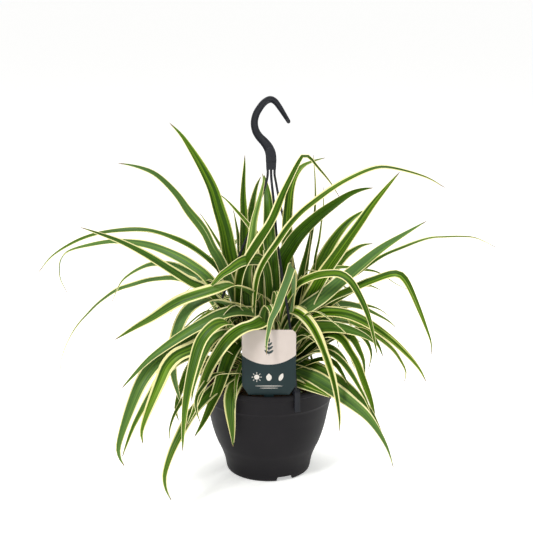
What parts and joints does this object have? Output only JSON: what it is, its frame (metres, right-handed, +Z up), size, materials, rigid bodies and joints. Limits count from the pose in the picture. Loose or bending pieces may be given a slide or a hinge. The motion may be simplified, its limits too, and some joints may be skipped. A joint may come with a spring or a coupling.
{
  "type": "potted spider plant",
  "caption": "Variegated spider plant in a dark plastic hanging pot, with soil, a stake label and a three-armed hanger that ends in a flat hook.",
  "frame": {"origin": "on the pot's axis, level with the underside of its foot", "axes": "+X to the viewer's right, +Y to the back, +Z up; the label on the front lip faces -Y"},
  "size_m": [0.5275, 0.3504, 0.4223],
  "materials": {
    "pot_plastic": "injection-moulded charcoal plastic, fine satin grain",
    "hanger_plastic": "injection-moulded slate-grey plastic, satin",
    "potting_mix": "dry crumbly peat and bark mix",
    "label_card": "printed two-tone plastic card, satin",
    "leaf": "green strap leaf with cream margins, waxy sheen"
  },
  "bodies": {
    "root": {"pot": "pot_plastic", "soil": "potting_mix", "label": "label_card", "hanger_hook": "hanger_plastic", "hanger_arm_front": "hanger_plastic", "hanger_arm_left": "hanger_plastic", "hanger_arm_back": "hanger_plastic", "foliage": "leaf"}
  },
  "joints": []
}
